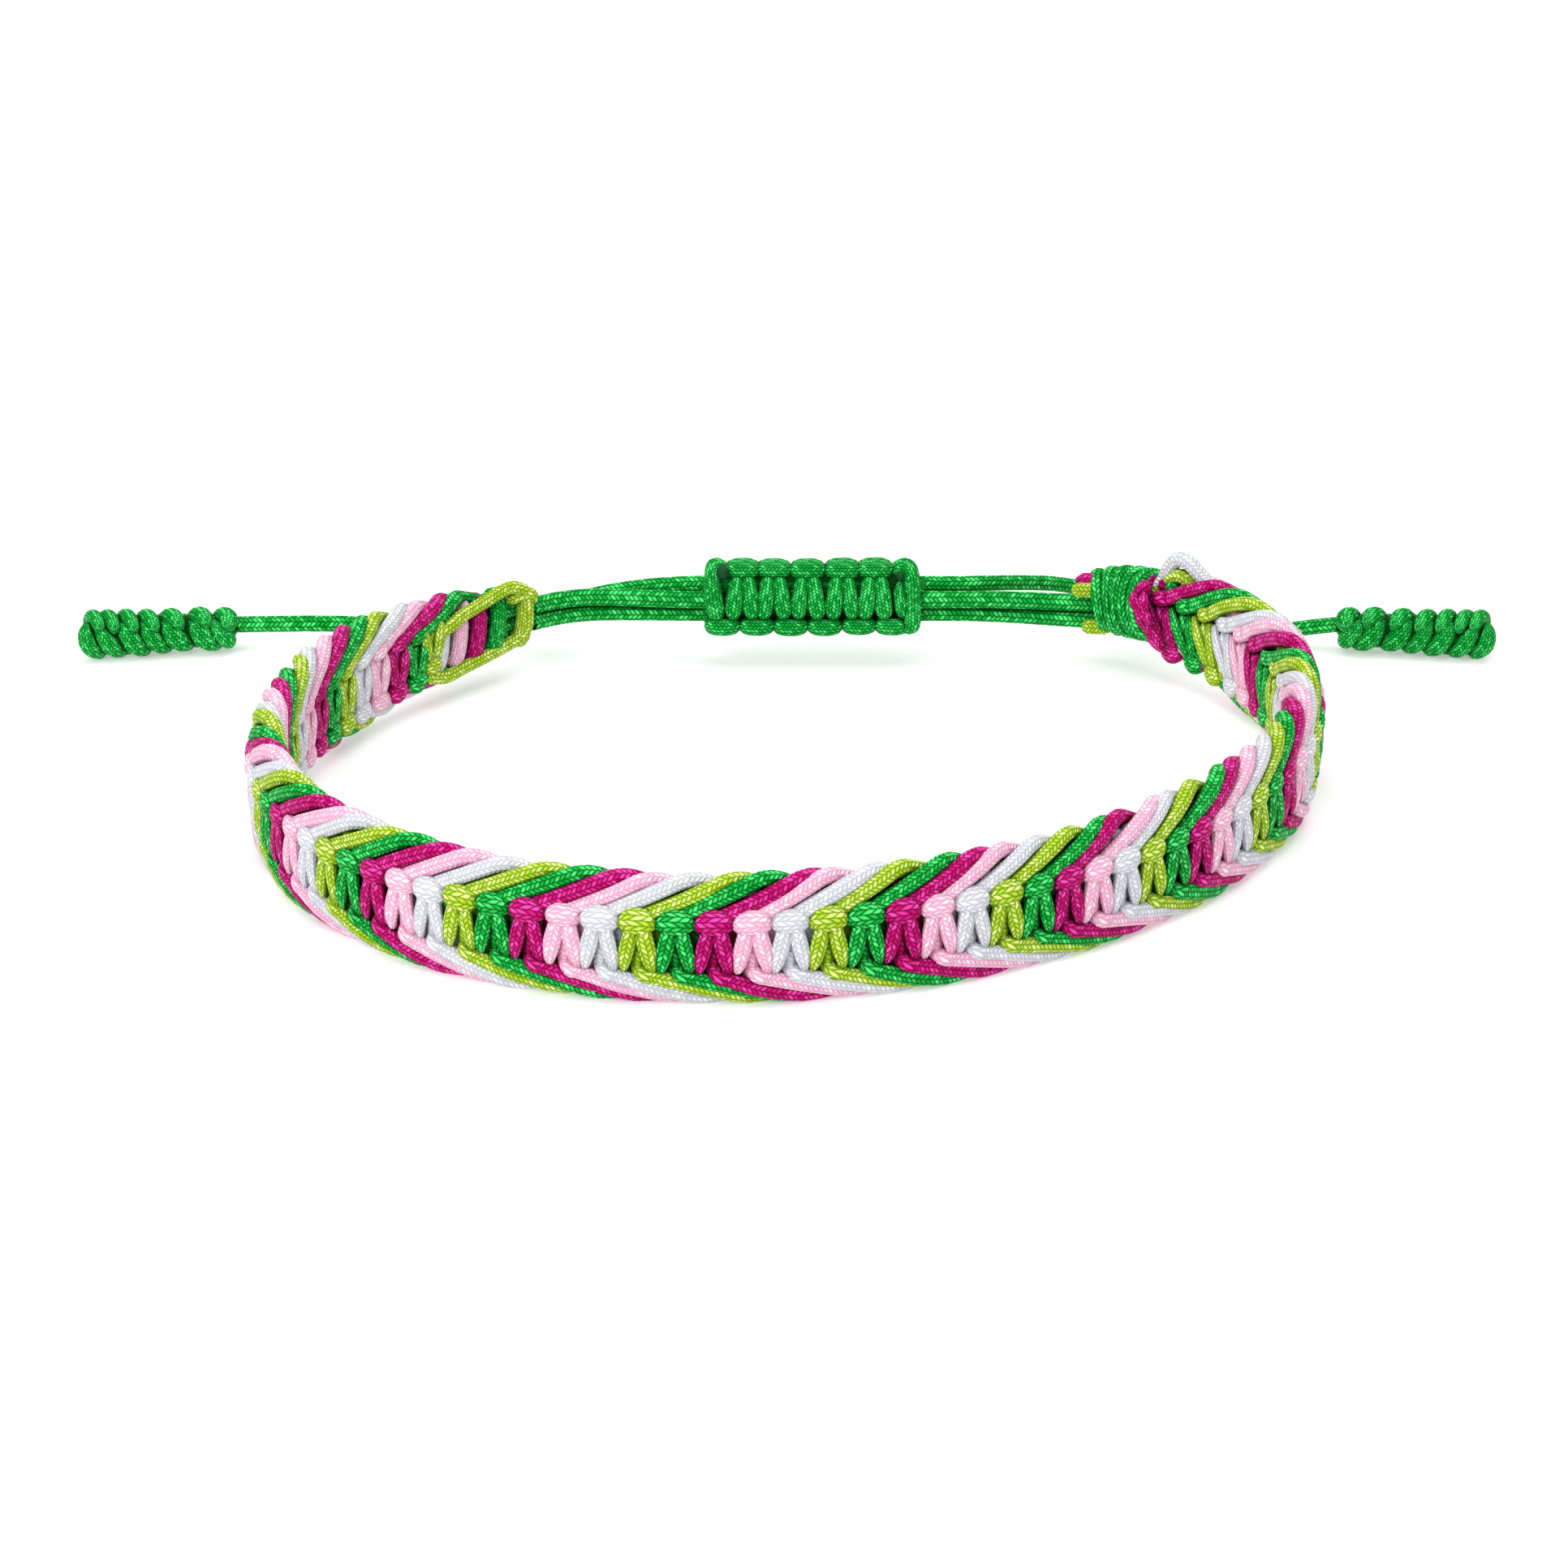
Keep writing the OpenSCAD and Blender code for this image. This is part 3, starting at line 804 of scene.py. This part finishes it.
# Each row is (mm along the loop, mm outwards, mm up, radius in mm) from an outer knot's middle.
cap_rows = [
    (-0.42, 0.25, 1.10, 0.64), (-0.40, 0.82, 1.22, 0.76), (-0.16, 1.12, 1.30, 0.83), (0.16, 1.12, 1.30, 0.83),
    (0.40, 0.82, 1.22, 0.76), (0.42, 0.25, 1.10, 0.64),
]
leg_rows = [
    (0.30, 0.75, 1.00, 0.44), (0.40, 1.08, 0.40, 0.49), (0.58, 1.20, -0.35, 0.51), (0.75, 1.14, -1.10, 0.44),
    (0.84, 0.85, -1.72, 0.26),
]

# Each row is (knots along, mm outwards, mm up) of an arm's end at its knot. Ends lie behind the cap of an
# outer or an inner knot, between an inner knot's legs, or below an outer knot's. Lower arms are mirrored.
behind_cap = [(0.04, 0.30, 1.00), (0.10, 0.58, 1.35), (0.20, 0.84, 1.62)]
between_legs = [(-0.20, 0.45, 1.80), (-0.06, 0.86, 1.98), (0.12, 1.16, 2.10)]
below_legs = [(-0.06, 0.10, 1.70), (0.04, 0.52, 1.92), (0.18, 0.90, 2.10)]
# Where an arm is free of the cap and of the legs: (knots along, mm up).
free_of_cap = (0.36, 1.84)
free_of_legs = (0.36, 2.24)
arm_steps = 10
arm_swing = 0.26
arm_bow = 0.12
# The last upper arms stand up in open loops. Each row is (mm before the wrapping, mm outwards, mm up).
raised_loops = {
    63: [
        (6.0, 0.9, 2.4), (5.0, 0.9, 2.7), (4.0, 0.8, 2.9), (3.0, 0.7, 2.7), (2.0, 0.6, 2.2), (0.0, 0.4, 1.6),
    ],
    64: [
        (6.6, 0.9, 1.9), (5.3, 0.75, 2.5), (4.2, 0.6, 2.75), (3.3, 0.5, 3.05), (2.6, 0.4, 3.5),
        (2.0, 0.35, 3.85), (1.4, 0.3, 4.0), (0.8, 0.25, 3.8), (0.35, 0.2, 3.25), (0.0, 0.15, 2.5),
        (-0.5, 0.1, 1.6),
    ],
    65: [
        (3.3, 0.5, 1.7), (2.6, 0.35, 2.4), (2.0, 0.25, 2.75), (1.4, 0.2, 2.9), (0.8, 0.15, 2.7),
        (0.3, 0.1, 2.2), (-0.5, 0.0, 1.4),
    ],
}


def section_arc(z0, z1):
    """Points round the band's lens-shaped section at even steps, from height z0 on the outer face over the
    edge to height z1 on the inner face, each as (share of the way, mm outwards, mm up)."""
    first, last = math.asin(z0 / edge_z), math.pi - math.asin(z1 / edge_z)
    fine = [first + (last - first) * i / 200 for i in range(201)]
    points = [Vector((face_n * math.cos(u), edge_z * math.sin(u))) for u in fine]
    run = [0]
    for a, b in zip(points, points[1:]):
        run.append(run[-1] + (b - a).length)
    table = list(zip(run, fine))
    rows = []
    for i in range(arm_steps + 1):
        share = i / arm_steps
        u = looked_up(share * run[-1], table)
        rows.append((share, face_n * math.cos(u), edge_z * math.sin(u)))
    return rows


def arm_rows(outer, outer_free, inner, inner_free, drop):
    """An upper arm from its outer knot to its inner knot, as (knots along, mm outwards, mm up). Each end is
    given by its rows and the place where it is free of the knot, and the inner one lies lower by the drop."""
    l0, z0 = outer_free
    l1, z1 = inner_free
    swept = [(l0 + (colours - l1 - l0) * share, n, z) for share, n, z in section_arc(z0, z1 - drop)]
    return outer + swept + [(colours - l, -n, z - drop) for l, n, z in reversed(inner)]


def drops(knot):
    """How far an inner knot lies under the outer one, and how far its arms' ends do, in millimetres."""
    return [looked_up(knot, inner_drops, column) for column in (1, 2)]


def arms_of(knot):
    """The upper and the lower arm that go from an outer knot to the inner knot five places on."""
    drop = drops(knot + colours)[1]
    upper = arm_rows(behind_cap, free_of_cap, between_legs, free_of_legs, drop)
    lower = arm_rows(below_legs, free_of_legs, behind_cap, free_of_cap, -drop)
    return upper, [(l, n, -z) for l, n, z in lower]


def nearness(s):
    """How near the wrapping is: 0 from lean_l away and 1 over its last part."""
    return min(1, max(0, (s - wrap_s + lean_l) / (0.6 * lean_l)))


def leaned(s, z):
    """Near the wrapping the columns lean with its turns."""
    return s + nearness(s) * lean_most * (z - lean_z)


def arm_line(knot, rows, chance, stop=None):
    """One arm of the loop that starts at a knot, up to stop where the wrapping holds its end."""
    line = []
    grow = chance.uniform(0.95, 1.06)
    swing = chance.uniform(-arm_swing, arm_swing)
    bow = chance.uniform(-arm_bow, arm_bow)
    last = rows[-1][0]
    for lead, n, z in rows:
        share = math.sin(math.pi * min(1, max(0, lead / last)))
        s = knot_s(knot + lead + swing * share)
        bowed = bow * math.sin(2 * math.pi * lead / last) + 0.5 * abs(swing) * share
        z = rise(s, z + bowed * math.copysign(1, z))
        if stop is not None and s > stop:
            break
        line.append((leaned(s, z), n * (1 + 0.6 * abs(swing) * share) * mm, z, arm_r * grow))
    if stop is not None and line:
        s, n, z, radius = line[-1]
        line.append((stop + 0.4 * mm, n * 0.9, z * 0.94, radius))
        line.append((stop + 1.2 * mm, n * 0.7, z * 0.8, radius))
    return tipped(line) if len(line) > 1 else None


def knot_lines(knot, face, chance):
    """Cap, legs and hidden back of a knot: face is 1 on the outer face and -1 on the inner face, where it is
    upside down."""
    outer = face > 0
    s0 = knot_s(knot) + (first_shift if knot == 0 and not outer else 0)
    if not outer:
        s0 += last_shift * nearness(s0)
    width = looked_up(knot, outer_widths) if outer else 1.0
    tall = 0.62 + 0.38 * taper(s0)
    drop = 0 if outer else drops(knot)[0] * mm
    legs = long_legs if not outer and s0 > wrap_s - lean_l else 1
    lines = []
    for part, side, thick in ((cap_rows, 1, 1 if outer else cap_share), (leg_rows, 1, 1), (leg_rows, -1, 1)):
        grow = chance.uniform(0.93, 1.08) * thick
        spread = chance.uniform(0.92, 1.08) * width
        line = []
        for along, n, z, radius in part:
            up = face * z * tall * mm * (legs if z < 0 else 1) - drop
            s = leaned(s0 + face * side * along * spread * mm, up)
            line.append((s, face * n * mm, up, radius * grow * mm))
        lines.append(tipped(line))
    back_s = s0 + (0 if outer else knot_pitch / 2)
    back = []
    for z in (-2.5, -1.2, 1.2, 2.5):
        up = rise(back_s, z)
        back.append((leaned(back_s, up), (0.3 if outer and abs(z) < 2 else 0) * mm, up, 0.56 * mm))
    lines.append(tipped(back))
    if not outer:
        heights = [z * tall * mm - drop for z in (-1.1, -0.4, 0.8, 1.6)]
        lines.append(tipped([(leaned(s0, up), -0.62 * mm, up, 0.5 * mm) for up in heights]))
    return lines


# Each row is (mm along the loop, mm outwards, mm up). The backs of the eye's knots show through it.
back_rows = [
    (0.30, -0.40, -1.25), (0.18, -0.80, -0.95), (0.0, -0.98, 0), (-0.18, -0.80, 0.95), (-0.30, -0.40, 1.25),
]
back_shift = 1.2 * mm
back_r = 0.62 * mm


def back_bar(knot):
    """The back of an outer knot, where it passes over the core."""
    s = knot_s(knot) + (back_shift if knot > -colours else back_shift / 2)
    return rounded([(s + along * mm, n * mm, (z - 0.1) * mm) for along, n, z in back_rows], back_r)


def loop_lines(colour):
    """Every cap, leg and arm of one colour, in the band's own straight space."""
    chance = random.Random(40 + colour)
    lines = []
    for knot in range(-colours, knots):
        if knot % colours != colour:
            continue
        if knot > -colours:
            lines += knot_lines(knot, 1, chance)
        if knot >= 0:
            lines += knot_lines(knot, -1, chance)
        else:
            lines.append(back_bar(knot))
        if knot == -colours:
            continue
        stop = wrap_s if knot > last_knot - colours else None
        for is_upper, rows in zip((True, False), arms_of(knot)):
            if is_upper and knot in raised_loops:
                raised = [(wrap_s - before * mm, n * mm, z * mm) for before, n, z in raised_loops[knot]]
                lines.append(rounded(raised, arm_r))
                continue
            line = arm_line(knot, rows, chance, stop)
            if line:
                lines.append(line)
    return lines


# By colour, each row is (degrees round the wrapping, mm past it) of a cut end that shows there.
cut_ends = {"lime": [(137, 0.45), (-125, 0.7)], "magenta": [(108, -0.05)]}
# The last magenta turns lie over the wrapping's edge. Each row is (mm past the wrapping's start, mm up).
edge_turns = [
    [
        (-0.15, 1.95), (0.15, 1.75), (0.42, 1.45), (0.36, 1.1), (0.0, 0.75), (-0.35, 0.3), (-0.7, -0.2),
        (-0.95, -0.75), (-1.15, -1.3),
    ],
    [(-0.4, 1.55), (-0.5, 1.2), (-0.65, 0.8), (-0.85, 0.35)],
]


def stub_line(turn, reach):
    """A cut cord end that shows past the wrapping, at a turn round it."""
    out = wrap_d / 2 - 0.55 * mm
    n, z = out * math.cos(math.radians(turn)), out * math.sin(math.radians(turn))
    places = (-0.5, -0.2, reach * 0.4, reach)
    return rounded([(wrap_to + past * mm + wrap_lean * z, n, z) for past in places], arm_r)


def edge_line(turns):
    """A magenta turn at the wrapping's edge, laid just over its inner side."""
    line = []
    for along, z in turns:
        n = (math.sqrt((wrap_d / mm / 2) ** 2 - z * z) + 0.05) * mm
        radius = (0.47 + 0.1 * math.sin(7 * z)) * mm
        s = wrap_s + (along + wrap_lean * z) * mm
        line.append((s, -(press + (n - press) / softness), z * mm, radius))
    return tipped(line)


# Each nylon below is given by its painted shadow colour, its own colour and its painted highlight colour.
lime_nylon = plaited_nylon(
    "lime nylon", (0.11, 0.23, 0.0, 1), (0.49, 0.73, 0.025, 1), (0.85, 1.0, 0.28, 1),
)
nylon = {
    "lime": lime_nylon,
    "green": green_nylon,
    "magenta": plaited_nylon(
        "magenta nylon", (0.12, 0.0, 0.015, 1), (0.66, 0.0, 0.19, 1), (1.0, 0.07, 0.50, 1),
    ),
    "pink": plaited_nylon(
        "pink nylon", (0.78, 0.32, 0.48, 1), (0.92, 0.56, 0.72, 1), (0.98, 0.86, 0.92, 1),
    ),
    "white": plaited_nylon(
        "white nylon", (0.50, 0.51, 0.56, 1), (0.74, 0.75, 0.80, 1), (0.95, 0.95, 0.97, 1),
    ),
}
# The whole band in coarser cords: each colour gets painted shade where it lies deep among them.
whole_band = curve_of("whole_band", [line for colour in range(colours) for line in loop_lines(colour)])
give(whole_band, cord_sweep, Smoothness=2, Sides=8, Thick=thick_cord, Material=green_nylon)
whole_band = as_mesh(whole_band)
for colour, name in enumerate(nylon):
    lines = loop_lines(colour) + [stub_line(*end) for end in cut_ends.get(name, [])]
    if name == "magenta":
        lines += [edge_line(turns) for turns in edge_turns]
    piece = bent_piece(f"{name}_cord", lines, nylon[name], limit=press, among=whole_band)
    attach(piece, "root")
    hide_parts(f"{name}_strand")


# Eye: the first lime loop is left open as a pointed eye at the band's left end. It runs from the first knot
# along both edges to the tip, where it makes a small turn. It is stretched a little thinner than the rest.
# Each row is (mm past the first knot, mm inwards, mm up).
eye_rows = [
    (1.7, 0.80, -1.75), (0.9, 1.05, -1.95), (0.0, 1.08, -2.08), (-1.4, 1.00, -1.95), (-3.4, 0.92, -1.75),
    (-5.4, 0.84, -1.45), (-6.5, 0.90, -1.10), (-7.05, 1.00, -0.55), (-7.15, 1.05, 0.35), (-7.10, 1.10, 1.20),
    (-6.9, 1.15, 2.00), (-6.1, 0.95, 2.40), (-5.3, 0.78, 2.32), (-3.4, 0.80, 1.85), (-1.4, 0.98, 1.55),
    (-0.4, 1.05, 1.25), (0.4, 0.95, 1.00), (0.9, 0.5, 0.85),
]
tip_turn = [(-6.2, 0.6, 1.55), (-6.7, 1.1, 1.85), (-7.3, 1.25, 1.75), (-7.6, 0.9, 1.35), (-7.4, 0.5, 0.9)]
eye_r = 0.43 * mm
first_knot_s = tip_s + eye_l
eye_lines = [
    rounded([(first_knot_s + along * mm, -n * mm, z * mm) for along, n, z in rows], eye_r)
    for rows in (eye_rows, tip_turn)
]
eye = bent_piece("eye_loop_cord", eye_lines, lime_nylon, sides=14, smoothness=5)
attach(eye, "root")
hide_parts("eye_loop")
bpy.data.objects.remove(loop_line)
bpy.data.objects.remove(whole_band)


# Table and light: the bracelet lies on a plain pale table that glows a little and so shows nearly white. A
# wide soft light hangs overhead and a smaller one stands at the front left.
floor_half = 1.5
floor_mesh = bpy.data.meshes.new("table_top")
corners = [
    (-floor_half, -floor_half, 0), (floor_half, -floor_half, 0), (floor_half, floor_half, 0),
    (-floor_half, floor_half, 0),
]
floor_mesh.from_pydata(corners, [], [(0, 1, 2, 3)])
floor = bpy.data.objects.new("table_top", floor_mesh)
bpy.context.scene.collection.objects.link(floor)
floor_material = bpy.data.materials.new("pale table")
floor_material.use_nodes = True
floor_shader = floor_material.node_tree.nodes["Principled BSDF"]
floor_shader.inputs["Base Color"].default_value = (0.72, 0.72, 0.72, 1)
floor_shader.inputs["Emission Color"].default_value = (1, 1, 1, 1)
floor_shader.inputs["Emission Strength"].default_value = 0.36
floor_shader.inputs["Roughness"].default_value = 0.7
floor_shader.inputs["Specular IOR Level"].default_value = 0.2
floor_mesh.materials.append(floor_material)


def soft_light(name, place, size, power):
    """A square light that faces the bracelet."""
    lamp = bpy.data.objects.new(name, bpy.data.lights.new(name, "AREA"))
    lamp.data.size = size
    lamp.data.energy = power
    lamp.location = place
    lamp.rotation_euler = (loop_middle - Vector(place)).to_track_quat("-Z", "Y").to_euler()
    bpy.context.scene.collection.objects.link(lamp)


soft_light("overhead_light", (0.05, 0.05, 0.6), 0.7, 3.0)
soft_light("front_light", (-0.3, -0.5, 0.4), 0.4, 2.6)
room = bpy.data.worlds.new("soft room")
room.use_nodes = True
room_shader = room.node_tree.nodes["Background"]
room_shader.inputs["Color"].default_value = (1, 1, 1, 1)
room_shader.inputs["Strength"].default_value = 0.62
bpy.context.scene.world = room
bpy.context.scene.view_settings.view_transform = "Standard"
